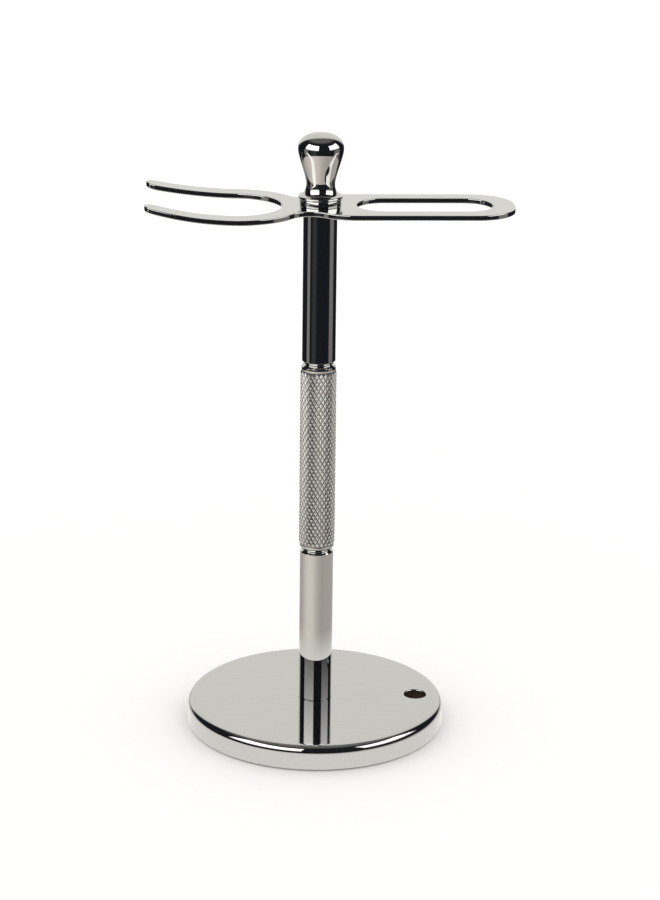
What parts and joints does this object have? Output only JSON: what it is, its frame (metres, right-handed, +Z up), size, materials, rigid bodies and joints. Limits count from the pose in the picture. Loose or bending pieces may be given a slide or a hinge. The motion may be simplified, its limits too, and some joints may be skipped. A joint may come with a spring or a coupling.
{
  "type": "razor stand",
  "caption": "Free-standing chromed razor stand: weighted round base, knurled column, and a flat holder with a brush fork and a razor slot under a turned finial.",
  "frame": {"origin": "on the column axis, at the underside of the foam pad, in the plane the stand rests on", "axes": "+Z up along the column, +X towards the razor slot's tip, -X towards the brush fork, -Y towards the viewer"},
  "size_m": [0.0962, 0.07, 0.164],
  "materials": {
    "chrome": "mirror-polished chromium plate",
    "knurled_chrome": "chromium plate over fine diamond knurling",
    "polished_plate": "chromium plate, faintly brushed on the flats",
    "raw_steel": "dark oxidised steel",
    "zinc_steel": "bright zinc plate",
    "stud_steel": "turned steel thread",
    "foam_pad": "matt closed-cell foam"
  },
  "bodies": {
    "stand": {"base_cover": "chrome", "base_weight": "raw_steel", "base_pad": "foam_pad", "base_screw": "zinc_steel", "base_washer": "zinc_steel", "base_lock_washer": "zinc_steel", "lower_stem": "chrome", "lower_joint_stud": "stud_steel", "knurled_grip": "knurled_chrome", "upper_joint_stud": "stud_steel", "upper_stem": "chrome"},
    "holder": {"holder_plate": "polished_plate"},
    "stud": {"top_stud": "stud_steel"},
    "finial": {"finial": "chrome"}
  },
  "joints": [
    {"name": "holder_swivel", "type": "hinge", "parent": "stand", "child": "holder", "pos_m": [0, 0, 0.1436], "axis": [0, 0, 1], "continuous": true},
    {"name": "stud_lift", "type": "slide", "parent": "stand", "child": "stud", "axis": [0, 0, 1], "range_m": [0, 0.0048]},
    {"name": "finial_turn", "type": "hinge", "parent": "stud", "child": "finial", "pos_m": [0, 0, 0.145], "axis": [0, 0, 1], "range_deg": [0, 2160]}
  ],
  "couplings": [
    {"joint": "stud_lift", "follows": "finial_turn", "m_per_rad": 0.0001273}
  ]
}
